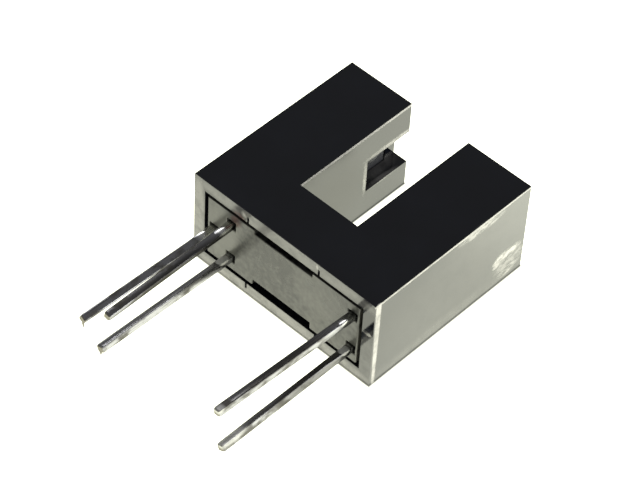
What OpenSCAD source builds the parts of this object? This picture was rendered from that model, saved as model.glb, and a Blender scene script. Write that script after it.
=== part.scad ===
// Slotted optical switch in a flangeless U-shaped case with five square leads.
// It lies on its flat side: X runs across the two arms, Y runs from the lead tips to the
// arm tips and Z is up. The origin is the middle of the web on the side it lies on.
// The emitter sits in the arm at +X, the sensor in the arm at -X.

/* [Housing] */
// Width across both arms
body_w = 13; // [12.7:0.1:14.5]
// Thickness of the body
body_t = 6.3; // [6:0.1:7.5]
// Width of the slot between the arms
slot_w = 4.1; // [3:0.1:4.3]
// Depth of the slot, from the arm tips to its floor
slot_depth = 8.7; // [8:0.1:11]
// Depth of the web, from the slot floor to the lead face
web_d = 3.4; // [3:0.1:5]
// Outer wall of the shell
wall = 0.78; // [0.7:0.02:0.9]
// Wall of the shell along the slot
inner_wall = 0.95; // [0.8:0.05:1.1]
// Rounding of the outer edges
edge_r = 0.08; // [0.08:0.02:0.2]
// Width of the shoulder that the base plate seats on
shoulder = 0.6; // [0.4:0.05:0.8]
// Width of the tongue in the middle of each long rim of the mouth
tongue_w = 5.1; // [4.6:0.1:5.6]
// Width of the notch at each end of a tongue
notch_w = 0.14; // [0.08:0.02:0.2]
// Depth of these notches behind the lead face
notch_d = 0.5; // [0.2:0.05:0.7]
// How far a notch runs from the mouth into the rim
notch_rise = 0.4; // [0.2:0.02:0.5]

/* [Light windows] */
// Height of the window cut in each inner wall
window_h = 2.34; // [1.9:0.02:2.8]
// How far the middle of the window lies below the middle of the body
window_drop = 0.17; // [0:0.01:0.25]
// Length of the window, from the arm tip
window_len = 3.34; // [3:0.02:4.5]

/* [Base plate] */
// Thickness of the base plate
base_t = 1.1; // [0.8:0.1:1.5]
// Gap all round the base plate
base_gap = 0.23; // [0.1:0.01:0.26]
// Length of the relief in each long edge of the base plate
relief_len = 4.2; // [3:0.1:5]
// Depth of the relief in the upper edge
upper_relief = 0.28; // [0.1:0.02:0.6]
// Depth of the relief in the lower edge
lower_relief = 0.42; // [0.1:0.02:0.6]
// Gap all round each lead in the base plate
hole_gap = 0.1; // [0.05:0.01:0.14]

/* [Packages] */
// Length of each moulded package
pkg_len = 5.6; // [5:0.1:6]
// Gap all round each package in its arm
pkg_gap = 0.06; // [0.03:0.01:0.1]
// Chamfer on the two upper corners of a package
pkg_chamfer = 0.5; // [0.2:0.05:0.8]
// Distance of the optical axis from the top of the package
axis_drop = 1.2; // [1.1:0.05:1.4]
// Radius of a lens where it leaves the package
lens_r = 0.8; // [0.5:0.05:0.85]
// Height of a lens
lens_h = 0.4; // [0.2:0.05:0.5]

/* [Leads] */
// Section of each square lead
lead_s = 0.44; // [0.4:0.02:0.54]
// Length of the leads below the lead face
lead_len = 9.5; // [6:0.1:14]
// Distance between the two leads of a pair
lead_pitch = 2.54; // [2.3:0.02:2.7]
// Distance from the outer wall to the outermost leads
lead_inset = 0.7; // [0.65:0.01:0.85]
// Stagger of the sensor's middle lead against its pair
lead_stagger = 1.26; // [0.9:0.02:1.3]
// Sideways lean of the anode lead at its tip
anode_lean = -0.38; // [-0.6:0.02:0.6]
// Lean of the cathode lead
cathode_lean = -0.04; // [-0.6:0.02:0.6]
// Lean of the supply lead
supply_lean = 0.06; // [-0.6:0.02:0.6]
// Lean of the output lead
output_lean = -0.18; // [-0.6:0.02:0.6]
// Lean of the ground lead
ground_lean = -0.22; // [-0.6:0.02:0.6]
// How much shorter the supply lead was cut
supply_trim = 0.42; // [0:0.02:1]
// How much shorter the other two sensor leads were cut
sensor_trim = 0.12; // [0:0.02:1]

/* [Chips] */
// Side of the emitter chip
emitter_die_s = 0.36; // [0.25:0.01:0.45]
// Side of the sensor chip
sensor_die_s = 1.1; // [0.8:0.05:1.2]
// Thickness of both chips
die_t = 0.22; // [0.15:0.01:0.28]
// Half width of the sensor's chip pad
pad_half = 0.75; // [0.65:0.01:0.78]
// Radius of a bond wire
wire_r = 0.025; // [0.015:0.005:0.03]
// Rise of a bond wire above its chip
wire_rise = 0.22; // [0.12:0.01:0.3]

/* [Hidden] */

$fn = 48;
eps = 0.01;
over = 1;

// Planes along Y: lead face, slot floor and arm tips
y_front = -web_d / 2;
y_floor = web_d / 2;
y_tip = y_floor + slot_depth;
body_d = web_d + slot_depth;
y_seat = y_front + base_t;
z_mid = body_t / 2;

// Inner and outer faces of the pocket in each arm
arm_in = slot_w / 2 + inner_wall;
arm_out = body_w / 2 - wall;
pocket_h = body_t - 2 * wall;
y_pocket = y_tip - wall;

// Package in its pocket
pkg_x = (arm_in + arm_out) / 2;
pkg_t = arm_out - arm_in - 2 * pkg_gap;
pkg_w = pocket_h - 2 * pkg_gap;
y_pkg = y_pocket - pkg_gap;
y_pkg_foot = y_pkg - pkg_len;
y_axis = y_pkg - axis_drop;
lens_sphere_r = (lens_r * lens_r + lens_h * lens_h) / (2 * lens_h);

// Leads: rows at the lead face, the bends between package and base plate with the straight
// room before them, and the end of each lead past the optical axis
row_outer = arm_out - lead_inset;
row_inner = row_outer - lead_stagger;
bend_room = 0.4;
y_bend_high = y_pkg_foot - bend_room;
y_bend_low = y_seat + bend_room;
lead_past = 0.45;
y_lead_end = y_axis + lead_past;
half_pitch = lead_pitch / 2;

// Chips stand on the slot side of the lead frame
chip_x = pkg_x - lead_s / 2;
chip_face = chip_x - die_t;
emitter_pad_half = 0.45;
sensor_bond_off = 0.35 * sensor_die_s;
ground_pad_y = 0.95;
wire_sink = die_t / 3;

// Piece outside the arc of one softened edge; the arc meets both faces at a slight angle
module edge_profile() {
    c = 1.2 * edge_r;
    difference() {
        translate([-over, -over]) square([edge_r + over, edge_r + over]);
        translate([c, c]) circle(norm([c, c - edge_r]));
    }
}

// Bar that softens one straight edge of a flat side
module edge_bar(len) {
    linear_extrude(len) edge_profile();
}

// Softened edge turned about the corner where an inner wall meets the slot floor
module edge_corner() {
    rotate_extrude() intersection() {
        edge_profile();
        translate([0, -over]) square([edge_r, edge_r + over]);
    }
}

// Outline of the body seen from above, with its upright edges rounded
module body_outline() {
    difference() {
        translate([-body_w / 2, y_front]) square([body_w, body_d]);
        translate([-slot_w / 2, y_floor]) square([slot_w, slot_depth + over]);
        for (m = [0, 1]) mirror([m, 0]) {
            translate([-body_w / 2, y_front]) edge_profile();
            translate([-body_w / 2, y_tip]) mirror([0, 1]) edge_profile();
            translate([slot_w / 2, y_tip]) mirror([0, 1]) edge_profile();
        }
    }
}

// Pocket for one package, open at the lead face
module arm_pocket() {
    translate([arm_in, y_front - over, wall])
        cube([arm_out - arm_in, y_pocket - y_front + over, pocket_h]);
}

// Window through the inner wall of one arm, open at the tip
module arm_window() {
    translate([0, y_tip - window_len, z_mid - window_drop - window_h / 2])
        cube([arm_in + eps, window_len + over, window_h]);
}

// Mouth at the lead face that takes the base plate
module mouth_cut() {
    translate([-arm_out, y_front - over, wall])
        cube([2 * arm_out, base_t + over, pocket_h]);
}

// Passage through the web behind the base plate; its sides are the plate's shoulders
module web_passage() {
    translate([-arm_in - eps, y_front - over, wall + shoulder])
        cube([2 * (arm_in + eps), web_d - inner_wall + over, pocket_h - 2 * shoulder]);
}

// Notches that mark off the tongue in the middle of each long rim
module tongue_notches() {
    for (m = [0, 1]) mirror([m, 0, 0])
        translate([(tongue_w - notch_w) / 2, y_front - over, wall - notch_rise])
            cube([notch_w, notch_d + over, pocket_h + 2 * notch_rise]);
}

// Softened edges round the flat sides, outside and along the slot
module flat_side_edges() {
    for (side = [0, 1]) translate([0, 0, side * body_t]) mirror([0, 0, side]) {
        for (m = [0, 1]) mirror([m, 0, 0]) {
            translate([-body_w / 2, y_tip + over, 0]) rotate([90, 0, 0])
                edge_bar(body_d + 2 * over);
            translate([slot_w / 2, y_tip + over, 0]) rotate([90, 0, 0])
                edge_bar(slot_depth + over);
        }
        translate([-body_w / 2 - over, y_front, 0]) rotate([90, 0, 90])
            edge_bar(body_w + 2 * over);
        for (m = [0, 1]) mirror([m, 0, 0])
            translate([body_w / 2 + over, y_tip, 0]) rotate([90, 0, -90])
                edge_bar((body_w - slot_w) / 2 + over);
        translate([slot_w / 2, y_floor, 0]) rotate([90, 0, -90])
            edge_bar(slot_w);
        for (m = [0, 1]) mirror([m, 0, 0])
            translate([slot_w / 2, y_floor, 0]) edge_corner();
    }
}

// Moulded shell with two hollow arms
module housing() {
    color([0.11, 0.11, 0.125]) difference() {
        linear_extrude(body_t) body_outline();
        flat_side_edges();
        mouth_cut();
        tongue_notches();
        web_passage();
        for (m = [0, 1]) mirror([m, 0, 0]) {
            arm_pocket();
            arm_window();
        }
    }
}

// Outline of the base plate in its mouth, seen along the leads
module base_outline() {
    plate_w = 2 * (arm_out - base_gap);
    plate_h = pocket_h - 2 * base_gap;
    difference() {
        translate([-plate_w / 2, -plate_h / 2]) square([plate_w, plate_h]);
        translate([-relief_len / 2, plate_h / 2 - upper_relief]) square([relief_len, over]);
        translate([-relief_len / 2, lower_relief - plate_h / 2 - over]) square([relief_len, over]);
    }
}

// Flat plate that closes the lead face and spaces the leads
module base_plate() {
    hole = lead_s + 2 * hole_gap;
    color([0.13, 0.13, 0.14]) difference() {
        translate([0, y_seat, z_mid]) rotate([90, 0, 0])
            linear_extrude(base_t) base_outline();
        for (p = lead_rows())
            translate([p[0] - hole / 2, y_front - over, z_mid + p[1] - hole / 2])
                cube([hole, base_t + 2 * over, hole]);
    }
}

// Place of every lead at the lead face: across the body, and from its middle plane
function lead_rows() = [
    [row_outer, half_pitch], [row_outer, -half_pitch],
    [-row_inner, half_pitch], [-row_inner, -half_pitch], [-row_outer, 0]
];

// One formed lead: straight in its package, cranked behind the plate, straight outside
module lead(x_pkg, x_row, z, lean, trim) {
    y_end = y_front - lead_len + trim;
    h = lead_s / 2;
    translate([0, 0, z_mid + z - h]) linear_extrude(lead_s) polygon([
        [x_pkg - h, y_lead_end], [x_pkg - h, y_bend_high], [x_row - h, y_bend_low],
        [x_row - h, y_front], [x_row + lean - h, y_end],
        [x_row + lean + h, y_end], [x_row + h, y_front], [x_row + h, y_bend_low],
        [x_pkg + h, y_bend_high], [x_pkg + h, y_lead_end]
    ]);
}

// Body of one side-looking package, with its lens towards the slot
module package_form() {
    translate([pkg_x - pkg_t / 2, 0, z_mid]) rotate([90, 0, 90])
        linear_extrude(pkg_t) polygon([
            [y_pkg_foot, -pkg_w / 2], [y_pkg - pkg_chamfer, -pkg_w / 2],
            [y_pkg, -pkg_w / 2 + pkg_chamfer], [y_pkg, pkg_w / 2 - pkg_chamfer],
            [y_pkg - pkg_chamfer, pkg_w / 2], [y_pkg_foot, pkg_w / 2]
        ]);
    translate([pkg_x - pkg_t / 2 + lens_sphere_r - lens_h, y_axis, z_mid])
        sphere(lens_sphere_r);
}

// Straight round rod between two points, with a ball at its far end
module rod(a, b, ball) {
    v = b - a;
    len = norm(v);
    translate(a)
        rotate([0, acos(v[2] / len), atan2(v[1], v[0])])
            cylinder(r = wire_r, h = len);
    if (ball) translate(b) sphere(wire_r);
}

// Bond wire: up from the chip, across, and down to the lead frame. The sink carries both of its
// ends on into the chip and the lead, for the room that a package leaves round its wire
module bond_wire(chip, foot, sink) {
    p = [
        chip + [sink, 0, 0], chip - [wire_rise, 0, 0],
        [chip[0] - wire_rise, foot[1], foot[2]], foot + [sink, 0, 0]
    ];
    for (i = [0 : 2]) rod(p[i], p[i + 1], i < 2);
}

// Infrared emitter package in the arm at +X
module emitter_package() {
    color([0.30, 0.20, 0.32]) difference() {
        package_form();
        emitter_anode_lead();
        emitter_cathode_lead();
        emitter_chip();
        emitter_bond_wire(wire_sink);
    }
}

// Upper lead of the emitter, which takes the bond wire
module emitter_anode_lead() {
    color([0.72, 0.71, 0.68]) lead(pkg_x, row_outer, half_pitch, anode_lean, 0);
}

// Lower lead of the emitter, with the pad that carries the chip
module emitter_cathode_lead() {
    color([0.72, 0.71, 0.68]) {
        lead(pkg_x, row_outer, -half_pitch, cathode_lean, 0);
        translate([chip_x, y_axis - emitter_pad_half, z_mid - half_pitch])
            cube([lead_s, 2 * emitter_pad_half, half_pitch + emitter_die_s]);
    }
}

// Infrared emitting chip
module emitter_chip() {
    color([0.35, 0.33, 0.38])
        translate([chip_face, y_axis - emitter_die_s / 2, z_mid - emitter_die_s / 2])
            cube([die_t, emitter_die_s, emitter_die_s]);
}

// Wire from the emitting chip to the anode
module emitter_bond_wire(sink = 0) {
    color([0.85, 0.68, 0.30])
        bond_wire([chip_face, y_axis, z_mid], [chip_x, y_axis, z_mid + half_pitch], sink);
}

// Logic sensor package in the arm at -X
module sensor_package() {
    color([0.10, 0.09, 0.10]) difference() {
        mirror([1, 0, 0]) package_form();
        sensor_supply_lead();
        sensor_output_lead();
        sensor_ground_lead();
        sensor_chip();
        sensor_supply_wire(wire_sink);
        sensor_output_wire(wire_sink);
        sensor_ground_wire(wire_sink);
    }
}

// Upper lead of the sensor's pair
module sensor_supply_lead() {
    color([0.72, 0.71, 0.68])
        lead(-pkg_x, -row_inner, half_pitch, supply_lean, supply_trim);
}

// Lower lead of the sensor's pair
module sensor_output_lead() {
    color([0.72, 0.71, 0.68])
        lead(-pkg_x, -row_inner, -half_pitch, output_lean, sensor_trim);
}

// Middle lead of the sensor, with the pad that carries the chip
module sensor_ground_lead() {
    color([0.72, 0.71, 0.68]) {
        lead(-pkg_x, -row_outer, 0, ground_lean, sensor_trim);
        translate([-chip_x - lead_s, y_axis - ground_pad_y, z_mid - pad_half])
            cube([lead_s, ground_pad_y + pad_half, 2 * pad_half]);
    }
}

// Light sensing chip
module sensor_chip() {
    color([0.30, 0.31, 0.36])
        translate([-chip_x, y_axis - sensor_die_s / 2, z_mid - sensor_die_s / 2])
            cube([die_t, sensor_die_s, sensor_die_s]);
}

// Bond wire of the sensor, drawn on the emitter side and mirrored across the slot
module sensor_wire(chip_y, chip_z, foot_y, foot_z, sink) {
    color([0.85, 0.68, 0.30]) mirror([1, 0, 0]) bond_wire(
        [chip_face, y_axis + chip_y, z_mid + chip_z],
        [chip_x, y_axis + foot_y, z_mid + foot_z], sink);
}

// Wire from the sensing chip to the supply lead
module sensor_supply_wire(sink = 0) {
    sensor_wire(sensor_bond_off, sensor_bond_off, sensor_bond_off, half_pitch, sink);
}

// Wire from the sensing chip to the output lead
module sensor_output_wire(sink = 0) {
    sensor_wire(sensor_bond_off, -sensor_bond_off, sensor_bond_off, -half_pitch, sink);
}

// Wire from the sensing chip down to its own pad
module sensor_ground_wire(sink = 0) {
    sensor_wire(-sensor_bond_off, 0, -(sensor_die_s / 2 + ground_pad_y) / 2, 0, sink);
}

housing();
base_plate();
emitter_package();
emitter_anode_lead();
emitter_cathode_lead();
emitter_chip();
emitter_bond_wire();
sensor_package();
sensor_supply_lead();
sensor_output_lead();
sensor_ground_lead();
sensor_chip();
sensor_supply_wire();
sensor_output_wire();
sensor_ground_wire();
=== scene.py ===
"""Looks of a slotted optical switch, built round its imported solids.

A black moulded case with two arms holds an infrared emitter and a light sensor, which face each
other across a slot. A base plate closes the case, and five tinned leads come out of it. Sizes in
the classes are in millimetres, and everything that reaches the scene is in metres.
"""

from __future__ import annotations

import logging
import math
from collections.abc import Callable
from dataclasses import dataclass
from enum import Enum
from typing import Any

import bmesh
import bpy
from mathutils import Matrix, Vector

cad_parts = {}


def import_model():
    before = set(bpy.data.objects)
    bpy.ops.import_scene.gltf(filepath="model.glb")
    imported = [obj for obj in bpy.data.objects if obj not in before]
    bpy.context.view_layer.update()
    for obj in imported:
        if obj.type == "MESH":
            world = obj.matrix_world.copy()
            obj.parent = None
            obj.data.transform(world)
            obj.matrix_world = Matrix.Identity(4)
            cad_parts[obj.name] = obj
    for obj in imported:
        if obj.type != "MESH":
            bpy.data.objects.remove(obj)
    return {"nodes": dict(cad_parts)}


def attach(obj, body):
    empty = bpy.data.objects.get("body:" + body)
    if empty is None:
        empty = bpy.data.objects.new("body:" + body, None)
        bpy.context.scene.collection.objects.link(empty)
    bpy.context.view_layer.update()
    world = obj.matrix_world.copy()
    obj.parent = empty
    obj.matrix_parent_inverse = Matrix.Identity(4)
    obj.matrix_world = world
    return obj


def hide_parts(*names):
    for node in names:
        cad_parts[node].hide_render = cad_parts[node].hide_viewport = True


LOG = logging.getLogger("slotted_switch")
MM = 0.001
BODY = "root"
# Face attribute that carries edge wear and the painted highlight laid on softened edges.
EDGE_WEAR_AND_HIGHLIGHT = "edge_wear_and_highlight"
CUT_END = "cut_end"
GIRTH = "girth"
TWIST = "twist"
# Share of a spot's rise that is left out, so that a mark ends cleanly.
MARK_FLOOR = 0.02
# A face whose normal lies this near to an axis is flat, and any other is a broken edge.
FLAT_FACE = 0.985
# Points nearer than this are one point, and faces that bend less than this are one face.
WELD_MM = 0.0002
ONE_FACE_DEGREES = 0.5
# Edges that bend more than this are broken, and normals are weighted to the large faces.
SHARP_DEGREES = 40.0
NORMAL_WEIGHT = 60

Triple = tuple[float, float, float]
Range = tuple[float, float]
Socket = bpy.types.NodeSocket


class Slot(Enum):
    """Material slots of the record; nothing in this script fills them."""

    CASE = "case_plastic"
    BASE = "base_plastic"
    LEAD = "tinned_lead"


def linear(hex_code: str) -> tuple[float, float, float, float]:
    """Turns an sRGB hex colour to linear light.

    Args:
        hex_code: Colour such as "#1c1c20".

    Returns:
        Linear red, green and blue, with alpha 1.
    """
    shown = [int(hex_code[i : i + 2], 16) / 255 for i in (1, 3, 5)]
    red, green, blue = (
        c / 12.92 if c <= 0.04045 else ((c + 0.055) / 1.055) ** 2.4 for c in shown
    )
    return red, green, blue, 1.0


def per_mm(size: float) -> float:
    """Texture scale of a pattern whose features are this many millimetres wide."""
    return 1.0 / (size * MM)


def add_node(
    tree: bpy.types.NodeTree,
    kind: str,
    inputs: dict[str | int, Any] | None = None,
    **settings: Any,
) -> bpy.types.Node:
    """Adds a node to a tree, with its settings and links.

    Args:
        tree: Tree that takes the node.
        kind: Type name of the node.
        inputs: Value or source socket of each input, by its name or number.
        **settings: Properties of the node itself.

    Returns:
        The new node.
    """
    node = tree.nodes.new(kind)
    for name, value in settings.items():
        setattr(node, name, value)
    for key, value in (inputs or {}).items():
        if isinstance(value, Socket):
            tree.links.new(value, node.inputs[key])
        else:
            node.inputs[key].default_value = value
    return node


@dataclass
class Sheet:
    """A material under construction, with its shader and the place on the piece."""

    material: bpy.types.Material
    tree: bpy.types.NodeTree
    shader: bpy.types.Node
    place: Socket

    @classmethod
    def start(cls, name: str) -> Sheet:
        """Starts a material with one shader.

        Args:
            name: Name of the real material.

        Returns:
            The sheet, with nothing linked to its shader yet.
        """
        material = bpy.data.materials.new(name)
        material.use_nodes = True
        tree = material.node_tree
        tree.nodes.clear()
        shader = add_node(tree, "ShaderNodeBsdfPrincipled")
        add_node(tree, "ShaderNodeOutputMaterial", {"Surface": shader.outputs[0]})
        place = add_node(tree, "ShaderNodeTexCoord").outputs["Object"]
        return cls(material, tree, shader, place)

    def noise(
        self,
        size: float,
        stretch: Triple = (1.0, 1.0, 1.0),
        detail: float = 2.0,
        shift: Triple = (0.0, 0.0, 0.0),
        turn: Triple = (0.0, 0.0, 0.0),
    ) -> Socket:
        """Noise whose features have a real size.

        Args:
            size: Width of a feature in millimetres.
            stretch: How much longer a feature is along each axis.
            detail: Octaves of the noise.
            shift: Offset of the pattern in millimetres.
            turn: Turn of the pattern in degrees.

        Returns:
            Socket with the noise, from 0 to 1.
        """
        mapping = add_node(
            self.tree,
            "ShaderNodeMapping",
            {
                "Vector": self.place,
                "Location": [s * MM for s in shift],
                "Rotation": [math.radians(t) for t in turn],
                "Scale": stretch,
            },
            vector_type="TEXTURE",
        )
        return add_node(
            self.tree,
            "ShaderNodeTexNoise",
            {"Vector": mapping.outputs[0], "Scale": per_mm(size), "Detail": detail},
        ).outputs[0]

    def spread(
        self,
        value: Socket,
        low: float,
        high: float,
        to_low: float = 0.0,
        to_high: float = 1.0,
    ) -> Socket:
        """Eases a value from one range to another, held at its ends.

        Args:
            value: Socket to spread.
            low: Value that becomes to_low.
            high: Value that becomes to_high.
            to_low: Lower end of the result.
            to_high: Upper end of the result.

        Returns:
            Socket with the result.
        """
        return add_node(
            self.tree,
            "ShaderNodeMapRange",
            {0: value, 1: low, 2: high, 3: to_low, 4: to_high},
            interpolation_type="SMOOTHSTEP",
        ).outputs[0]

    def math(self, kind: str, a: Socket | float, b: Socket | float) -> Socket:
        """Result of one sum on two sockets or numbers."""
        return add_node(self.tree, "ShaderNodeMath", {0: a, 1: b}, operation=kind).outputs[0]

    def mix(self, share: Socket, first: Socket | str, second: Socket | str) -> Socket:
        """Mixes two colours.

        Args:
            share: Share of the second colour.
            first: Hex colour or socket at share 0.
            second: Hex colour or socket at share 1.

        Returns:
            Socket with the mixed colour.
        """
        ends = [linear(c) if isinstance(c, str) else c for c in (first, second)]
        inputs = {0: share, 6: ends[0], 7: ends[1]}
        return add_node(self.tree, "ShaderNodeMix", inputs, data_type="RGBA").outputs[2]

    def spot(self, centre: Triple, reach: Triple) -> Socket:
        """Soft spot on the piece.

        Args:
            centre: Middle of the spot in millimetres.
            reach: How far it goes along each axis in millimetres.

        Returns:
            Socket that falls from 1 in the middle to 0 at its reach.
        """
        mapping = add_node(
            self.tree,
            "ShaderNodeMapping",
            {
                "Vector": self.place,
                "Location": [c * MM for c in centre],
                "Scale": [r * MM for r in reach],
            },
            vector_type="TEXTURE",
        )
        return add_node(
            self.tree,
            "ShaderNodeTexGradient",
            {"Vector": mapping.outputs[0]},
            gradient_type="SPHERICAL",
        ).outputs["Fac"]

    def bump(self, height: Socket, depth: float, strength: float = 1.0) -> None:
        """Gives the shader a relief.

        Args:
            height: Socket with the height.
            depth: Height in millimetres where the socket gives 1.
            strength: Share of the relief that shows.
        """
        relief = add_node(
            self.tree,
            "ShaderNodeBump",
            {"Strength": strength, "Distance": depth * MM, "Height": height},
        )
        self.tree.links.new(relief.outputs[0], self.shader.inputs["Normal"])

    def feed(self, **sockets: Socket | float | tuple[float, ...]) -> None:
        """Sets or links inputs of the shader, named with an underscore for each space."""
        for key, value in sockets.items():
            socket = self.shader.inputs[key.replace("_", " ")]
            if isinstance(value, Socket):
                self.tree.links.new(value, socket)
            else:
                socket.default_value = value


@dataclass(frozen=True)
class Mark:
    """One pale, scuffed or tarnished place on a piece, or a place of painted highlight, painted
    sheen or painted shade, in millimetres.

    Its middle, how far it reaches along each axis, how strong it is, and the share of its reach
    over which it fades.
    """

    centre: Triple
    reach: Triple
    strength: float
    fade: float = 0.5

    def on(self, sheet: Sheet) -> Socket:
        """Strength of the mark at each place of a material."""
        spot = sheet.spot(self.centre, self.reach)
        return sheet.spread(spot, MARK_FLOOR, self.fade, 0.0, self.strength)


@dataclass(frozen=True)
class CasePolycarbonate:
    """Black polycarbonate, moulded against a polished tool.

    It is almost black in itself, so the eye sees what it mirrors: the pale floor on its upright
    faces and the dark room on its flat side. Its edges are abraded and carry painted highlights,
    its faces painted sheen, and one arm has a scuffed patch near its tip.
    """

    name: str = "black_polycarbonate_polished"
    deep: str = "#090b12"
    faded: str = "#111520"
    chalk_and_highlight_tone: str = "#ccc9c5"
    stain: str = "#6e3a36"
    index: float = 1.58
    haze_mm: float = 2.4
    grain_mm: float = 0.07
    scratch_mm: float = 0.05
    broken_mm: float = 0.7
    fleck_mm: float = 0.34
    relief_mm: float = 0.004
    relief_share: float = 0.25
    # Roughness of the polished skin, and what hairlines, chalk and painted highlights, and worn
    # edges make of it.
    polish: Range = (0.07, 0.13)
    hairline_matt: float = 0.08
    chalk_matt: float = 0.35
    worn_matt: float = 0.45
    # Painted highlights on the upright edge by the emitter's leads, the edge above it, and those
    # along the slot and the window; painted light on the window's floor; and painted lighter bands
    # on the rim round the base plate, with two painted highlights at its notches.
    lines: tuple[Mark, ...] = (
        Mark((6.52, -1.43, 8.0), (0.1, 0.25, 12.0), 1.0, 0.4),
        Mark((6.5, 1.0, 6.21), (0.1, 14.0, 0.09), 0.75, 0.3),
        Mark((-2.05, 6.0, 6.19), (0.1, 9.0, 0.11), 1.0, 0.3),
        Mark((-3.2, 8.8, 1.8), (1.1, 2.0, 0.5), 0.2),
        Mark((-2.02, 6.92, 3.0), (0.06, 0.24, 2.0), 1.0),
        Mark((-2.02, 8.8, 4.3), (0.06, 3.0, 0.26), 1.0),
        Mark((-2.1, 8.4, 1.81), (0.35, 1.6, 0.13), 0.4, 0.6),
        Mark((0.0, -1.72, 0.2), (9.5, 0.1, 0.95), 0.38),
        Mark((-6.2, -1.72, 3.3), (0.7, 0.1, 4.6), 0.36),
        Mark((0.0, -1.72, 5.95), (9.5, 0.1, 0.7), 0.24),
        Mark((6.2, -1.72, 1.4), (0.75, 0.1, 3.4), 0.12),
        Mark((-2.86, -1.72, 5.92), (0.38, 0.1, 0.42), 0.75, 1.0),
        Mark((2.42, -1.72, 6.06), (0.18, 0.1, 0.42), 0.8, 1.0),
    )
    # Painted sheen: faint lighter patches on the sensor's wall of the slot and on the emitter's
    # side.
    painted_sheen: tuple[Mark, ...] = (
        Mark((-2.04, 4.8, 2.8), (0.1, 5.0, 4.2), 0.03),
        Mark((6.52, 4.4, -0.2), (0.1, 9.5, 1.8), 0.1),
        Mark((6.52, 6.5, 2.2), (0.1, 9.5, 5.5), 0.045),
    )
    # Flux stain by the supply lead.
    flux: Mark = Mark((-3.2, -1.7, 5.45), (0.55, 0.3, 0.45), 0.36)
    # A rubbed patch near the tip of the emitter's arm, a painted highlight streak along the top edge
    # above it, and a nick in the rim.
    scuffs_and_highlight: tuple[Mark, ...] = (
        Mark((6.52, 9.05, 2.1), (0.3, 1.4, 0.45), 0.85),
        Mark((6.52, 8.95, 0.5), (0.3, 0.8, 0.25), 0.6),
        Mark((6.52, 8.15, 1.85), (0.3, 0.45, 0.5), 0.7),
        Mark((6.52, 9.5, 0.9), (0.3, 0.5, 0.4), 0.5),
        Mark((6.52, 9.2, 1.35), (0.3, 1.5, 1.3), 0.4),
        Mark((6.52, 6.5, 5.95), (0.3, 2.2, 0.42), 0.6),
        Mark((6.08, -1.72, 3.9), (0.4, 0.1, 0.2), 0.5),
    )

    def build(self) -> bpy.types.Material:
        """Builds the material with its haze, scratches, abraded edges with painted highlights,
        painted sheen and scuffed patch.
        """
        s = Sheet.start(self.name)
        haze = s.noise(self.haze_mm, detail=3.0)
        grain = s.noise(self.grain_mm, detail=1.0)
        # Hairlines from a handled, rubbed surface, drawn a little wide so that they show.
        along = s.spread(s.noise(self.scratch_mm, (1.0, 60.0, 3.0)), 0.66, 0.74)
        across = s.spread(
            s.noise(self.scratch_mm, (40.0, 1.5, 2.0), turn=(0.0, 0.0, 24.0)), 0.68, 0.76
        )
        hairlines = s.math("MAXIMUM", along, across)
        # Edge wear and painted highlight of the softened edges.
        lit_and_abraded_edges = add_node(s.tree, "ShaderNodeAttribute", attribute_name=EDGE_WEAR_AND_HIGHLIGHT).outputs["Fac"]
        broken = s.spread(s.noise(self.broken_mm, detail=3.0), 0.3, 0.62, 0.55, 1.0)
        flecks = s.noise(self.fleck_mm, (1.0, 1.9, 0.8), 4.0, (0.0, 1.6, 0.9))
        flecks = s.spread(flecks, 0.36, 0.6, 0.15, 1.0)
        chalk_and_highlight = s.math("MULTIPLY", lit_and_abraded_edges, broken)
        # Painted highlights, painted light on the window floor and the rim, and painted sheen follow
        # the broken pattern; the scuffed patch and its painted highlight streak follow the flecks.
        for marks, pattern in ((self.lines + self.painted_sheen, broken), (self.scuffs_and_highlight, flecks)):
            for mark in marks:
                chalk_and_highlight = s.math("MAXIMUM", chalk_and_highlight, s.math("MULTIPLY", mark.on(s), pattern))
        # Painted highlights and real abrasion alike are mixed in the pale tone.
        colour = s.mix(chalk_and_highlight, s.mix(haze, self.deep, self.faded), self.chalk_and_highlight_tone)
        colour = s.mix(s.math("MULTIPLY", self.flux.on(s), flecks), colour, self.stain)
        gloss = s.spread(haze, 0.3, 0.7, *self.polish)
        gloss = s.math("ADD", gloss, s.math("MULTIPLY", hairlines, self.hairline_matt))
        gloss = s.math("ADD", gloss, s.math("MULTIPLY", chalk_and_highlight, self.chalk_matt))
        gloss = s.math("MAXIMUM", gloss, s.spread(lit_and_abraded_edges, 0.0, 0.02, 0.0, self.worn_matt))
        s.feed(Base_Color=colour, Roughness=gloss, IOR=self.index)
        relief = s.math("ADD", grain, s.math("MULTIPLY", haze, 2.0))
        s.bump(relief, self.relief_mm, self.relief_share)
        return s.material


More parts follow.
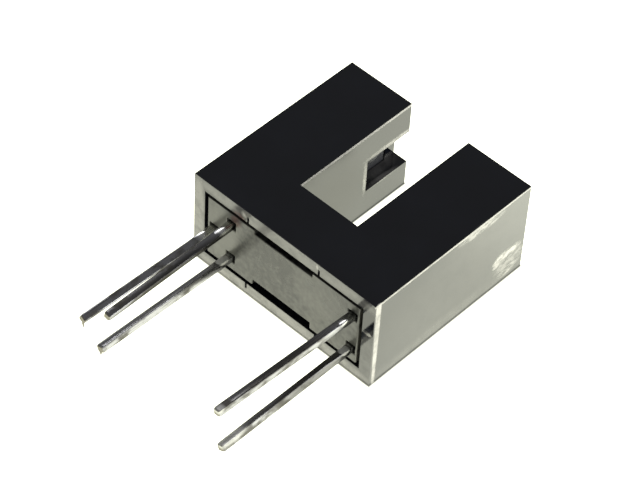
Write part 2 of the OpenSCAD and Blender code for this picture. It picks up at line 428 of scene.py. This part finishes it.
@dataclass(frozen=True)
class PlatePolycarbonate:
    """Black polycarbonate of the base plate, moulded against a finely eroded tool.

    The grain of the tool makes its mirror image of the floor softer and mottled, so it is a
    cloudy grey beside the clear grey of the case.
    """

    name: str = "black_polycarbonate_eroded"
    deep: str = "#0a0a0a"
    faded: str = "#4d4d49"
    painted_light_tone: str = "#62625d"
    edge: str = "#8d8d86"
    stain: str = "#6e3a36"
    index: float = 1.49
    cloud_mm: float = 3.2
    speck_mm: float = 0.3
    grain_mm: float = 0.09
    cloud_share: float = 0.55
    edge_share: float = 0.3
    matt: Range = (0.26, 0.4)
    relief_mm: float = 0.006
    relief_share: float = 0.3
    # Painted light: paler patches between the leads of each side.
    pale: tuple[Mark, ...] = (
        Mark((-4.5, -1.7, 3.4), (1.7, 0.4, 2.6), 0.75),
        Mark((2.6, -1.7, 4.1), (2.3, 0.4, 2.2), 0.34),
    )
    # Flux stain by the supply lead.
    flux: Mark = Mark((-3.4, -1.7, 4.95), (0.5, 0.3, 0.5), 0.5)

    def build(self) -> bpy.types.Material:
        """Builds the material with its clouds, its painted lighter patches and its grain."""
        s = Sheet.start(self.name)
        clouds = s.noise(self.cloud_mm, detail=2.0)
        specks = s.noise(self.speck_mm, detail=2.0)
        grain = s.noise(self.grain_mm, detail=2.0)
        # Edge wear of the broken edges, read from the attribute that also carries the case's painted
        # highlights.
        lit_and_abraded_edges = add_node(s.tree, "ShaderNodeAttribute", attribute_name=EDGE_WEAR_AND_HIGHLIGHT).outputs["Fac"]
        speckle = s.math("MULTIPLY", specks, 1.0 - self.cloud_share)
        mottle = s.math("ADD", s.math("MULTIPLY", clouds, self.cloud_share), speckle)
        colour = s.mix(s.spread(mottle, 0.36, 0.65), self.deep, self.faded)
        # Painted light: lighter patches on the plate.
        for mark in self.pale:
            colour = s.mix(mark.on(s), colour, self.painted_light_tone)
        colour = s.mix(s.math("MULTIPLY", self.flux.on(s), specks), colour, self.stain)
        colour = s.mix(s.math("MULTIPLY", lit_and_abraded_edges, self.edge_share), colour, self.edge)
        gloss = s.spread(clouds, 0.3, 0.7, *self.matt)
        s.feed(Base_Color=colour, Roughness=gloss, IOR=self.index)
        s.bump(s.math("ADD", grain, clouds), self.relief_mm, self.relief_share)
        return s.material


@dataclass(frozen=True)
class TinPlate:
    """Bright tin plated on a stamped copper alloy lead.

    It mirrors the floor and the dark room, streaked along its length by the strip's rolling,
    with dull specks where the tin has tarnished, painted shade along the tops of some leads and
    painted highlights at their roots.
    """

    name: str = "aged_tin_plate"
    bright: str = "#acacb0"
    dull: str = "#6d6b68"
    sheared: str = "#8b8880"
    darkened_tone: str = "#403e39"
    pale_tone: str = "#e9e9e6"
    glance: str = "#a2a2a2"
    speck_mm: float = 0.55
    streak_mm: float = 0.06
    groove_mm: float = 0.0014
    swell_mm: float = 0.15
    # Roughness of bright tin, what specks and cut ends add to it, and that of a pale place.
    shine: Range = (0.14, 0.26)
    speck_matt: float = 0.28
    pale_spot_matt: float = 0.8
    # Tin is cleaner in the first millimetres from the case.
    clean: Mark = Mark((0.0, -1.7, 3.15), (40.0, 3.2, 40.0), 0.85)
    # Darker places: the cathode lead near the case and the supply lead along its side, and painted
    # shade along the cathode's upper corner and along the tops of both upper leads.
    darkened_places: tuple[Mark, ...] = (
        Mark((5.1, -4.4, 1.88), (0.8, 3.4, 0.8), 0.6),
        Mark((-3.55, -5.0, 4.3), (0.3, 6.0, 0.5), 0.8),
        Mark((5.0, -7.0, 2.3), (0.9, 6.5, 0.25), 1.0),
        Mark((4.85, -6.8, 4.77), (0.9, 6.6, 0.25), 0.9),
        Mark((-3.72, -7.4, 4.74), (0.9, 6.6, 0.26), 0.6),
    )
    # Faint swellings where the strip's bars were cut away, each painted pale as a painted highlight
    # and raised in the relief so that it catches the lamp.
    swellings: tuple[Mark, ...] = (
        Mark((-5.05, -2.3, 3.37), (0.5, 0.75, 0.5), 1.0),
        Mark((-3.74, -2.2, 4.64), (0.5, 0.7, 0.5), 1.0),
        Mark((5.12, -2.25, 4.64), (0.4, 0.5, 0.4), 0.73),
    )
    # Dull pale places: painted highlights at the lower roots, and pale places at two of the tips.
    pale_spots: tuple[Mark, ...] = (
        Mark((-3.78, -2.3, 2.1), (0.5, 0.5, 0.3), 1.0),
        Mark((5.02, -2.2, 2.1), (0.5, 0.4, 0.3), 1.0),
        Mark((4.98, -10.5, 2.1), (0.5, 1.5, 0.3), 0.6),
        Mark((4.64, -11.1, 4.64), (0.5, 0.5, 0.3), 0.5),
    )

    def build(self) -> bpy.types.Material:
        """Builds the material with its rolling streaks, dull specks, sheared ends, painted shade on
        the tops and painted highlights at the roots.
        """
        s = Sheet.start(self.name)
        specks = s.spread(s.noise(self.speck_mm, (1.0, 2.2, 1.0), 4.0), 0.44, 0.64)
        specks = s.math("MULTIPLY", specks, s.math("SUBTRACT", 1.0, self.clean.on(s)))
        streaks = s.noise(self.streak_mm, (1.0, 30.0, 1.0), 2.0)
        ends = add_node(s.tree, "ShaderNodeAttribute", attribute_name=CUT_END).outputs["Fac"]
        colour = s.mix(specks, self.bright, self.dull)
        colour = s.mix(s.spread(streaks, 0.52, 0.7, 0.0, 0.6), colour, self.dull)
        # Painted shade on the lead tops, and the other darker places.
        for mark in self.darkened_places:
            colour = s.mix(mark.on(s), colour, self.darkened_tone)
        colour = s.mix(ends, colour, self.sheared)
        gloss = s.spread(streaks, 0.3, 0.7, *self.shine)
        rough = s.math("MULTIPLY", s.math("MAXIMUM", specks, ends), self.speck_matt)
        gloss = s.math("ADD", gloss, rough)
        # Pale places, painted highlights at the roots.
        for mark in self.pale_spots:
            share = mark.on(s)
            colour = s.mix(share, colour, self.pale_tone)
            gloss = s.math("MAXIMUM", gloss, s.math("MULTIPLY", share, self.pale_spot_matt))
        relief = s.math("MULTIPLY", streaks, self.groove_mm)
        # Swellings painted pale as painted highlights, with a raised relief.
        for mark in self.swellings:
            colour = s.mix(mark.on(s), colour, self.pale_tone)
            swell = s.spot(mark.centre, mark.reach)
            swell = s.math("MULTIPLY", swell, mark.strength * self.swell_mm)
            relief = s.math("ADD", relief, swell)
        tint = linear(self.glance)
        s.feed(Base_Color=colour, Metallic=1.0, Roughness=gloss, Specular_Tint=tint)
        # The relief is in millimetres already.
        s.bump(relief, 1.0)
        return s.material


@dataclass(frozen=True)
class CastEpoxy:
    """Transfer-moulded optical epoxy with a smooth skin and a faint flow pattern."""

    name: str
    clear: str
    cloudy: str
    matt: float = 0.0
    index: float = 1.54
    flow_mm: float = 0.8
    skin: Range = (0.08, 0.16)
    relief_mm: float = 0.003
    relief_share: float = 0.2

    def build(self) -> bpy.types.Material:
        """Builds the material with its flow pattern."""
        s = Sheet.start(self.name)
        flow = s.noise(self.flow_mm, (1.0, 1.6, 1.0), 3.0)
        colour = s.mix(s.spread(flow, 0.35, 0.65), self.clear, self.cloudy)
        gloss = s.spread(flow, 0.3, 0.7, *(edge + self.matt for edge in self.skin))
        s.feed(Base_Color=colour, Roughness=gloss, IOR=self.index)
        s.bump(flow, self.relief_mm, self.relief_share)
        return s.material


# Tinted to pass infrared, so it looks a clear dark violet.
TINTED_EPOXY = CastEpoxy("tinted_epoxy", "#4a3148", "#5b4058")
# Loaded with a daylight filter, so it looks a dull blackish grey.
FILTER_EPOXY = CastEpoxy("filter_epoxy", "#45464c", "#505156", matt=0.5)


@dataclass(frozen=True)
class PolishedChip:
    """Semiconductor chip with a dark glassy face and fine metal tracks."""

    name: str = "semiconductor_chip"
    face: str = "#3a3c48"
    track: str = "#8c8a80"
    cell_mm: float = 0.09

    def build(self) -> bpy.types.Material:
        """Builds the material with its grid of cells."""
        s = Sheet.start(self.name)
        cells = add_node(
            s.tree,
            "ShaderNodeTexVoronoi",
            {"Vector": s.place, "Scale": per_mm(self.cell_mm), "Randomness": 0.25},
            distance="CHEBYCHEV",
        ).outputs[0]
        tracks = s.spread(cells, 0.3, 0.42)
        s.feed(
            Base_Color=s.mix(tracks, self.face, self.track),
            Metallic=s.spread(tracks, 0.0, 1.0, 0.1, 0.8),
            Roughness=s.spread(tracks, 0.0, 1.0, 0.12, 0.3),
        )
        return s.material


@dataclass(frozen=True)
class DrawnGold:
    """Gold bond wire, drawn fine, with die lines along it."""

    name: str = "drawn_gold_wire"
    bright: str = "#e6c06a"
    deep: str = "#c99a45"
    line_mm: float = 0.012

    def build(self) -> bpy.types.Material:
        """Builds the material with its die lines."""
        s = Sheet.start(self.name)
        lines = s.noise(self.line_mm, (1.0, 1.0, 8.0), 1.0)
        s.feed(
            Base_Color=s.mix(lines, self.bright, self.deep),
            Metallic=1.0,
            Roughness=s.spread(lines, 0.3, 0.7, 0.15, 0.28),
        )
        return s.material


def merged_copy(
    source: bpy.types.Object, name: str, reform: Callable[[Vector], Vector] | None = None
) -> bpy.types.Object:
    """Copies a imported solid's mesh as one closed skin with plain flat faces.

    Args:
        source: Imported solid, which is left as it is.
        name: Name of the copy.
        reform: New place of each point of the copy, both in millimetres.

    Returns:
        New object at the origin.
    """
    mesh = source.data.copy()
    mesh.name = name
    mesh.materials.clear()
    stored = mesh.attributes.get("custom_normal")
    if stored is not None:
        mesh.attributes.remove(stored)
    work = bmesh.new()
    work.from_mesh(mesh)
    if reform is not None:
        for point in work.verts:
            point.co = reform(point.co / MM) * MM
    bmesh.ops.remove_doubles(work, verts=work.verts, dist=WELD_MM * MM)
    bmesh.ops.dissolve_degenerate(work, edges=work.edges, dist=WELD_MM * MM)
    bend = math.radians(ONE_FACE_DEGREES)
    bmesh.ops.dissolve_limit(work, angle_limit=bend, verts=work.verts, edges=work.edges)
    for face in work.faces:
        face.smooth = True
    for edge in work.edges:
        edge.smooth = True
    work.to_mesh(mesh)
    work.free()
    piece = bpy.data.objects.new(name, mesh)
    bpy.context.scene.collection.objects.link(piece)
    return piece


def settle(piece: bpy.types.Object) -> None:
    """Applies a piece's modifiers to its mesh.

    Args:
        piece: Object whose modifiers are applied and removed.
    """
    depsgraph = bpy.context.evaluated_depsgraph_get()
    mesh = bpy.data.meshes.new_from_object(piece.evaluated_get(depsgraph), depsgraph=depsgraph)
    piece.modifiers.clear()
    piece.data = mesh
    mesh.name = piece.name


def soften(piece: bpy.types.Object, width: float, segments: int) -> None:
    """Breaks the sharp edges of a moulded piece.

    Args:
        piece: Object to soften.
        width: Width of the broken edge in millimetres.
        segments: Faces across it.
    """
    bevel = piece.modifiers.new("broken_edges", "BEVEL")
    bevel.width = width * MM
    bevel.segments = segments
    bevel.limit_method = "ANGLE"
    bevel.angle_limit = math.radians(SHARP_DEGREES)
    bevel.use_clamp_overlap = True
    weighted = piece.modifiers.new("flat_faces", "WEIGHTED_NORMAL")
    weighted.mode = "FACE_AREA"
    weighted.weight = NORMAL_WEIGHT
    settle(piece)


def mark_faces(
    piece: bpy.types.Object, name: str, share: Callable[[Vector, Vector], float]
) -> None:
    """Stores a share from 0 to 1 on each face of a piece, for its material to read.

    Args:
        piece: Object with its final mesh.
        name: Name of the attribute.
        share: Share at a place in millimetres with a normal.
    """
    mesh = piece.data
    values = [share(face.center / MM, face.normal) for face in mesh.polygons]
    mesh.attributes.new(name, "FLOAT", "FACE").data.foreach_set("value", values)


def adopt(piece: bpy.types.Object, node: str, finish: bpy.types.Material) -> None:
    """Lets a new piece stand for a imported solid.

    Args:
        piece: New piece, in place.
        node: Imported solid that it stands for.
        finish: Material of the piece.
    """
    piece.data.materials.clear()
    piece.data.materials.append(finish)
    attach(piece, BODY)
    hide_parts(node)
    LOG.info("%s: %d faces for %s", piece.name, len(piece.data.polygons), node)


def dress(node: bpy.types.Object, finish: bpy.types.Material) -> None:
    """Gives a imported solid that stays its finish."""
    node.material_slots[0].material = finish
    LOG.info("%s: kept, %s", node.name, finish.name)


@dataclass(frozen=True)
class Housing:
    """Moulded case with its two arms, mouth and light windows."""

    half_width: float = 6.5
    thickness: float = 6.3
    lead_face: float = -1.7
    arm_tip: float = 10.4
    slot_half: float = 2.05
    slot_floor: float = 1.7
    edge_round: float = 0.08
    edge_slack: float = 0.001
    break_width: float = 0.035
    break_segments: int = 2
    # Edge wear and painted highlight on softened edges, strongest in this zone by the upright edge
    # beside the emitter's leads.
    corner_zone: float = 0.2
    corner_wear_and_highlight: float = 0.12
    edge_wear_and_highlight: float = 0.04

    def crisp(self, place: Vector) -> Vector:
        """Brings a place on a rounded outer edge out to the sharp corner.

        Args:
            place: Point of the moulding in millimetres.

        Returns:
            The point, with each part of it that is near an outer face on that face.
        """
        near = self.edge_round + self.edge_slack
        in_arms = place.y > self.slot_floor - near
        over_slot = abs(place.x) < self.slot_half + near
        walls = (-self.half_width, self.half_width)
        walls += (-self.slot_half, self.slot_half) if in_arms else ()
        ends = (self.lead_face, self.arm_tip) + ((self.slot_floor,) if over_slot else ())
        faces = (walls, ends, (0.0, self.thickness))
        return Vector(
            next((face for face in row if abs(face - part) < near), part)
            for part, row in zip(place, faces)
        )

    def abrasion_and_highlight(self, place: Vector, normal: Vector) -> float:
        """Share of abrasion and painted highlight on one softened edge.

        Args:
            place: Middle of the edge face in millimetres.
            normal: Direction it faces.

        Returns:
            Share from 0 to 1 of abrasion and painted highlight, most on the upright edge beside the
            emitter's leads.
        """
        if max(map(abs, normal)) > FLAT_FACE:
            return 0.0
        at_side = place.x > self.half_width - self.corner_zone and normal.x > 0.7
        at_front = place.y < self.lead_face + self.corner_zone
        upright = abs(normal.z) < 0.2
        return self.corner_wear_and_highlight if at_side and at_front and upright else self.edge_wear_and_highlight

    def build(self, nodes: dict[str, bpy.types.Object], finish: bpy.types.Material) -> None:
        """Builds the case over its solid and dresses it.

        Args:
            nodes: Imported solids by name.
            finish: Material of the case.
        """
        piece = merged_copy(nodes["housing"], "case", self.crisp)
        soften(piece, self.break_width, self.break_segments)
        mark_faces(piece, EDGE_WEAR_AND_HIGHLIGHT, self.abrasion_and_highlight)
        adopt(piece, "housing", finish)


@dataclass(frozen=True)
class GlowingFloor:
    """Pale sheet of a light table, which is the main light of the picture."""

    name: str = "opal_sheet"
    tint: str = "#f4f3ec"
    clouded: str = "#efeee6"
    matt: float = 0.8
    light: tuple[float, float, float, float] = (0.985, 1.0, 0.82, 1.0)
    strength: float = 2.15
    # It is dimmer in front of the case, and brighter at the far right.
    front: float = 0.88
    front_y: Range = (-5.0, 2.0)
    bright_spot: float = 1.8
    spot_centre: Triple = (15.0, 17.0, 0.0)
    spot_reach: Triple = (13.0, 13.0, 13.0)
    cloud_mm: float = 60.0
    contact: float = 0.12
    contact_mm: float = 0.14
    case: Housing = Housing()

    def build(self) -> bpy.types.Material:
        """Builds the material, shaded where the case stands and brighter at the far right."""
        s = Sheet.start(self.name)
        clouds = s.noise(self.cloud_mm, detail=1.0)
        across, along, _ = add_node(s.tree, "ShaderNodeSeparateXYZ", {0: s.place}).outputs
        near, far = (y * MM for y in self.front_y)
        level = s.spread(along, near, far, self.front * self.strength, self.strength)
        spot = s.spot(self.spot_centre, self.spot_reach)
        level = s.math("ADD", level, s.spread(spot, 0.0, 1.0, 0.0, self.bright_spot))
        # Distance from the case's footprint, both round it and into its slot.
        case = self.case
        half, middle = (case.arm_tip - case.lead_face) / 2, (case.arm_tip + case.lead_face) / 2
        aside = s.math("ABSOLUTE", across, 0.0)
        ahead = s.math("ABSOLUTE", s.math("SUBTRACT", along, middle * MM), 0.0)
        round_it = s.math(
            "MAXIMUM",
            s.math("SUBTRACT", aside, case.half_width * MM),
            s.math("SUBTRACT", ahead, half * MM),
        )
        in_slot = s.math(
            "MINIMUM",
            s.math("SUBTRACT", case.slot_half * MM, aside),
            s.math("SUBTRACT", along, case.slot_floor * MM),
        )
        away = s.math("MAXIMUM", round_it, in_slot)
        shade = s.spread(away, 0.0, self.contact_mm * MM, self.contact, 1.0)
        level = s.math("MULTIPLY", level, shade)
        s.feed(
            Base_Color=s.mix(clouds, self.tint, self.clouded),
            Roughness=self.matt,
            Emission_Color=self.light,
            Emission_Strength=level,
        )
        return s.material


@dataclass
class BasePlate:
    """Plate that closes the case and spaces the leads."""

    break_width: float = 0.07
    break_segments: int = 3
    edge_wear_and_highlight: float = 0.4

    def abrasion_and_highlight(self, place: Vector, normal: Vector) -> float:
        """Wear of one broken edge, even all round the plate."""
        return self.edge_wear_and_highlight if max(map(abs, normal)) < FLAT_FACE else 0.0

    def build(self, nodes: dict[str, bpy.types.Object], finish: bpy.types.Material) -> None:
        """Builds the plate over its solid and dresses it.

        Args:
            nodes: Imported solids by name.
            finish: Material of the plate.
        """
        piece = merged_copy(nodes["base_plate"], "closing_plate")
        soften(piece, self.break_width, self.break_segments)
        mark_faces(piece, EDGE_WEAR_AND_HIGHLIGHT, self.abrasion_and_highlight)
        adopt(piece, "base_plate", finish)


@dataclass(frozen=True)
class Pad:
    """Chip pad on the end of a lead, by its corners in millimetres."""

    low: Triple
    high: Triple


@dataclass(frozen=True)
class LeadRun:
    """One lead: the node it stands for, and where it runs.

    Its places are in millimetres: in the package and at the lead face along X, its height, the
    lean and the end of its tip. It may be twisted a few degrees outside the case, have a burr of
    some length where it was cut off, and carry a chip pad.
    """

    node: str
    package_x: float
    row_x: float
    height: float
    lean: float
    tip_y: float
    twist: float
    burr: float = 0.0
    pad: Pad | None = None


@dataclass
class LeadSet:
    """The five formed leads, swept along their runs."""

    section: float = 0.44
    corner: float = 0.06
    top_y: float = 8.81
    bend_high_y: float = 3.56
    bend_low_y: float = -0.2
    lead_face: float = -1.7
    # Each ring of the rounded tip: its distance from the end as a share, and its girth.
    tip_round: float = 0.16
    tip_rings: tuple[Range, ...] = ((1.0, 1.0), (0.35, 0.93), (0.0, 0.74))
    tip_inset: float = 0.01
    # Share of the way to the tip at which a lead has its full twist.
    twisted_by: float = 0.2
    pad_inset: float = 0.004
    burr_sides: int = 7
    burr_root: float = 0.09
    burr_end: float = 0.03
    burr_back: float = 0.1
    burr_drop: float = 0.2
    end_zone: float = 5.0

    def runs(self) -> list[LeadRun]:
        """Lists the leads.

        Returns:
            The emitter's pair, then the sensor's three.
        """
        middle, half_pitch = 3.15, 1.27
        package, outer, inner = 4.36, 5.02, 3.76
        emitter_pad = Pad((4.14, 7.91, middle - half_pitch), (4.58, 8.81, middle + 0.36))
        sensor_pad = Pad((-4.58, 7.41, middle - 0.75), (-4.14, 9.11, middle + 0.75))
        up, down = middle + half_pitch, middle - half_pitch
        return [
            LeadRun("emitter_anode_lead", package, outer, up, -0.38, -11.2, -8.0),
            LeadRun(
                "emitter_cathode_lead", package, outer, down, -0.04, -11.2, -24.0, pad=emitter_pad
            ),
            LeadRun("sensor_supply_lead", -package, -inner, up, 0.06, -10.78, 12.0),
            LeadRun("sensor_output_lead", -package, -inner, down, -0.18, -11.08, -24.0, 0.3),
            LeadRun(
                "sensor_ground_lead", -package, -outer, middle, -0.22, -11.08, 28.0, 0.45, sensor_pad
            ),
        ]

    def sweep_tree(self) -> bpy.types.NodeTree:
        """Makes the tree that sweeps a square section with broken corners along a run.

        Returns:
            Tree with inputs for the section, its corners, the pad, the burr and the finish.
        """
        tree = bpy.data.node_groups.new("formed_lead_sweep", "GeometryNodeTree")
        sockets = (
            ("Run", "NodeSocketGeometry"),
            ("Section", "NodeSocketFloat"),
            ("Corner Radius", "NodeSocketFloat"),
            ("Has Pad", "NodeSocketBool"),
            ("Pad Size", "NodeSocketVector"),
            ("Pad Centre", "NodeSocketVector"),
            ("Has Burr", "NodeSocketBool"),
            ("Burr Length", "NodeSocketFloat"),
            ("Burr Foot", "NodeSocketVector"),
            ("Finish", "NodeSocketMaterial"),
        )
        for name, kind in sockets:
            tree.interface.new_socket(name, in_out="INPUT", socket_type=kind)
        tree.interface.new_socket("Lead", in_out="OUTPUT", socket_type="NodeSocketGeometry")
        given = add_node(tree, "NodeGroupInput").outputs
        run = add_node(tree, "GeometryNodeMeshToCurve", {"Mesh": given["Run"]}).outputs[0]
        run = add_node(
            tree, "GeometryNodeSetCurveNormal", {"Curve": run}, mode="Z_UP"
        ).outputs[0]
        twist = add_node(
            tree, "GeometryNodeInputNamedAttribute", {"Name": TWIST}, data_type="FLOAT"
        ).outputs[0]
        run = add_node(
            tree, "GeometryNodeSetCurveTilt", {"Curve": run, "Tilt": twist}
        ).outputs[0]
        square = add_node(
            tree,
            "GeometryNodeCurvePrimitiveQuadrilateral",
            {"Width": given["Section"], "Height": given["Section"]},
            mode="RECTANGLE",
        ).outputs[0]
        profile = add_node(
            tree,
            "GeometryNodeFilletCurve",
            {"Curve": square, "Count": 3, "Radius": given["Corner Radius"]},
            mode="POLY",
        ).outputs[0]
        girth = add_node(
            tree, "GeometryNodeInputNamedAttribute", {"Name": GIRTH}, data_type="FLOAT"
        ).outputs[0]
        bar = add_node(
            tree,
            "GeometryNodeCurveToMesh",
            {"Curve": run, "Profile Curve": profile, "Scale": girth, "Fill Caps": True},
        ).outputs[0]
        block = add_node(
            tree, "GeometryNodeMeshCube", {"Size": given["Pad Size"]}
        ).outputs[0]
        block = add_node(
            tree,
            "GeometryNodeTransform",
            {"Geometry": block, "Translation": given["Pad Centre"]},
        ).outputs[0]
        pad = add_node(
            tree,
            "GeometryNodeSwitch",
            {"Switch": given["Has Pad"], "True": block},
            input_type="GEOMETRY",
        ).outputs[0]
        spur = add_node(
            tree,
            "GeometryNodeMeshCone",
            {
                "Vertices": self.burr_sides,
                "Radius Top": self.burr_root * MM,
                "Radius Bottom": self.burr_end * MM,
                "Depth": given["Burr Length"],
            },
        ).outputs[0]
        spur = add_node(
            tree, "GeometryNodeTransform", {"Geometry": spur, "Translation": given["Burr Foot"]}
        ).outputs[0]
        burr = add_node(
            tree,
            "GeometryNodeSwitch",
            {"Switch": given["Has Burr"], "True": spur},
            input_type="GEOMETRY",
        ).outputs[0]
        joined = add_node(tree, "GeometryNodeJoinGeometry")
        for form in (pad, burr, bar):
            tree.links.new(form, joined.inputs[0])
        real = add_node(
            tree, "GeometryNodeRealizeInstances", {"Geometry": joined.outputs[0]}
        ).outputs[0]
        tinned = add_node(
            tree,
            "GeometryNodeSetMaterial",
            {"Geometry": real, "Material": given["Finish"]},
        ).outputs[0]
        add_node(tree, "NodeGroupOutput", {"Lead": tinned})
        return tree

    def line(self, run: LeadRun) -> bpy.types.Object:
        """Makes the line that a lead follows.

        Args:
            run: The lead.

        Returns:
            Object with a chain of edges, each point with its girth and twist.
        """
        at_face = Vector((run.row_x, self.lead_face, run.height))
        tip = Vector((run.row_x + run.lean, run.tip_y + self.tip_inset, run.height))
        back = (at_face - tip).normalized()
        points = [
            (Vector((run.package_x, self.top_y, run.height)), 1.0, 0.0),
            (Vector((run.package_x, self.bend_high_y, run.height)), 1.0, 0.0),
            (Vector((run.row_x, self.bend_low_y, run.height)), 1.0, 0.0),
            (at_face, 1.0, 0.0),
            (at_face.lerp(tip, self.twisted_by), 1.0, run.twist),
        ]
        for share, girth in self.tip_rings:
            points.append((tip + back * self.tip_round * share, girth, run.twist))
        mesh = bpy.data.meshes.new(run.node)
        mesh.from_pydata(
            [point * MM for point, _, _ in points],
            [(i, i + 1) for i in range(len(points) - 1)],
            [],
        )
        girths = mesh.attributes.new(GIRTH, "FLOAT", "POINT")
        girths.data.foreach_set("value", [girth for _, girth, _ in points])
        twists = mesh.attributes.new(TWIST, "FLOAT", "POINT")
        twists.data.foreach_set("value", [-math.radians(turn) for _, _, turn in points])
        line = bpy.data.objects.new(f"{run.node}_formed", mesh)
        bpy.context.scene.collection.objects.link(line)
        return line

    def cut_end(self, place: Vector, normal: Vector) -> float:
        """Tells the sheared end of a lead from its plated sides."""
        return 1.0 if normal.y < -0.4 and place.y < self.lead_face - self.end_zone else 0.0

    def build(self, finish: bpy.types.Material) -> None:
        """Sweeps every lead and lets it stand for its solid.

        Args:
            finish: Material of the leads.
        """
        tree = self.sweep_tree()
        keys = {
            item.name: item.identifier
            for item in tree.interface.items_tree
            if item.in_out == "INPUT"
        }
        for run in self.runs():
            piece = self.line(run)
            sweep = piece.modifiers.new("sweep", "NODES")
            sweep.node_group = tree
            low, high = (run.pad.low, run.pad.high) if run.pad else ((0, 0, 0), (0, 0, 0))
            inset = Vector((self.pad_inset, 0.0, 0.0))
            low, high = Vector(low) + inset, Vector(high) - inset
            drop = self.burr_drop + run.burr
            foot = Vector((run.row_x + run.lean, run.tip_y + self.burr_back, run.height - drop))
            values: dict[str, Any] = {
                "Section": self.section * MM,
                "Corner Radius": self.corner * MM,
                "Has Pad": run.pad is not None,
                "Pad Size": (high - low) * MM,
                "Pad Centre": (low + high) / 2 * MM,
                "Has Burr": run.burr > 0,
                "Burr Length": run.burr * MM,
                "Burr Foot": foot * MM,
                "Finish": finish,
            }
            for name, value in values.items():
                sweep[keys[name]] = value
            settle(piece)
            mark_faces(piece, CUT_END, self.cut_end)
            adopt(piece, run.node, finish)


@dataclass
class OpticalUnit:
    """One package in its arm, with its chip and bond wires."""

    package: str
    chip: str
    wires: tuple[str, ...]

    def build(
        self,
        nodes: dict[str, bpy.types.Object],
        epoxy: bpy.types.Material,
        chip: bpy.types.Material,
        gold: bpy.types.Material,
    ) -> None:
        """Dresses the unit's solids.

        Args:
            nodes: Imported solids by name.
            epoxy: Material of the package.
            chip: Material of the chip.
            gold: Material of the wires.
        """
        dress(nodes[self.package], epoxy)
        dress(nodes[self.chip], chip)
        for wire in self.wires:
            dress(nodes[wire], gold)


@dataclass
class Studio:
    """Light table, dark room, one low softbox, a small ceiling lamp and the camera."""

    floor_side: float = 6000.0
    camera_place: Triple = (64.714, -73.573, 112.737)
    azimuth: float = 40.862
    elevation: float = 47.953
    roll: float = 3.738
    lens: float = 156.9
    sensor_width: float = 36.0
    clip: Range = (0.002, 20.0)
    room: tuple[float, float, float, float] = (0.17, 0.171, 0.172, 1.0)
    light_far: float = 300.0
    softbox_way: Triple = (0.8, 0.5, 0.33)
    softbox_size: Range = (240.0, 70.0)
    softbox_radiance: float = 6.0
    lamp_way: Triple = (-0.44, 0.165, 0.88)
    lamp_size: Range = (84.0, 84.0)
    lamp_radiance: float = 4.0

    def floor(self, finish: bpy.types.Material) -> None:
        """Lays the floor.

        Args:
            finish: Material of the floor.
        """
        half = self.floor_side * MM / 2
        mesh = bpy.data.meshes.new("floor")
        mesh.from_pydata(
            [(-half, -half, 0.0), (half, -half, 0.0), (half, half, 0.0), (-half, half, 0.0)],
            [],
            [(0, 1, 2, 3)],
        )
        mesh.materials.append(finish)
        floor = bpy.data.objects.new("floor", mesh)
        bpy.context.scene.collection.objects.link(floor)

    def hang(self, name: str, way: Triple, size: Range, radiance: float) -> None:
        """Hangs one flat light that faces the part.

        Args:
            name: Name of the light.
            way: Direction in which it hangs.
            size: Width and height in millimetres.
            radiance: How bright its face looks, where 1 is white.
        """
        panel = bpy.data.lights.new(name, "AREA")
        panel.shape = "RECTANGLE"
        panel.size, panel.size_y = (side * MM for side in size)
        panel.energy = radiance * math.pi * panel.size * panel.size_y
        light = bpy.data.objects.new(name, panel)
        toward = Vector(way).normalized()
        light.location = toward * self.light_far * MM
        light.rotation_euler = toward.to_track_quat("Z", "Y").to_euler()
        bpy.context.scene.collection.objects.link(light)

    def lights(self) -> None:
        """Sets the dark room, the softbox behind the right arm and the lamp above."""
        scene = bpy.context.scene
        world = bpy.data.worlds.new("dark_room")
        world.use_nodes = True
        world.node_tree.nodes["Background"].inputs["Color"].default_value = self.room
        scene.world = world
        scene.view_settings.view_transform = "Standard"
        self.hang("softbox", self.softbox_way, self.softbox_size, self.softbox_radiance)
        self.hang("ceiling_lamp", self.lamp_way, self.lamp_size, self.lamp_radiance)

    def camera(self) -> None:
        """Sets the camera where the picture was taken from."""
        turn, rise, roll = (math.radians(d) for d in (self.azimuth, self.elevation, self.roll))
        level = Vector((math.cos(turn), math.sin(turn), 0.0))
        outward = Vector((math.sin(turn), -math.cos(turn), 0.0))
        back = outward * math.cos(rise) + Vector((0.0, 0.0, math.sin(rise)))
        upright = back.cross(level)
        right = level * math.cos(roll) + upright * math.sin(roll)
        up = back.cross(right)
        data = bpy.data.cameras.new("camera")
        data.sensor_width = self.sensor_width
        data.lens = self.lens
        data.clip_start, data.clip_end = self.clip
        camera = bpy.data.objects.new("camera", data)
        camera.matrix_world = Matrix.LocRotScale(
            Vector(self.camera_place) * MM, Matrix((right, up, back)).transposed(), None
        )
        bpy.context.scene.collection.objects.link(camera)
        bpy.context.scene.camera = camera


def main() -> None:
    """Builds and dresses the switch and its studio."""
    logging.basicConfig(level=logging.INFO, format="%(name)s: %(message)s")
    nodes: dict[str, bpy.types.Object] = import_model()["nodes"]
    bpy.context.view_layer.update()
    Housing().build(nodes, CasePolycarbonate().build())
    BasePlate().build(nodes, PlatePolycarbonate().build())
    LeadSet().build(TinPlate().build())
    chip, gold = PolishedChip().build(), DrawnGold().build()
    emitter = OpticalUnit("emitter_package", "emitter_chip", ("emitter_bond_wire",))
    emitter.build(nodes, TINTED_EPOXY.build(), chip, gold)
    sensor = OpticalUnit(
        "sensor_package",
        "sensor_chip",
        ("sensor_supply_wire", "sensor_output_wire", "sensor_ground_wire"),
    )
    sensor.build(nodes, FILTER_EPOXY.build(), chip, gold)
    studio = Studio()
    studio.floor(GlowingFloor().build())
    studio.lights()
    studio.camera()


if __name__ == "__main__":
    main()
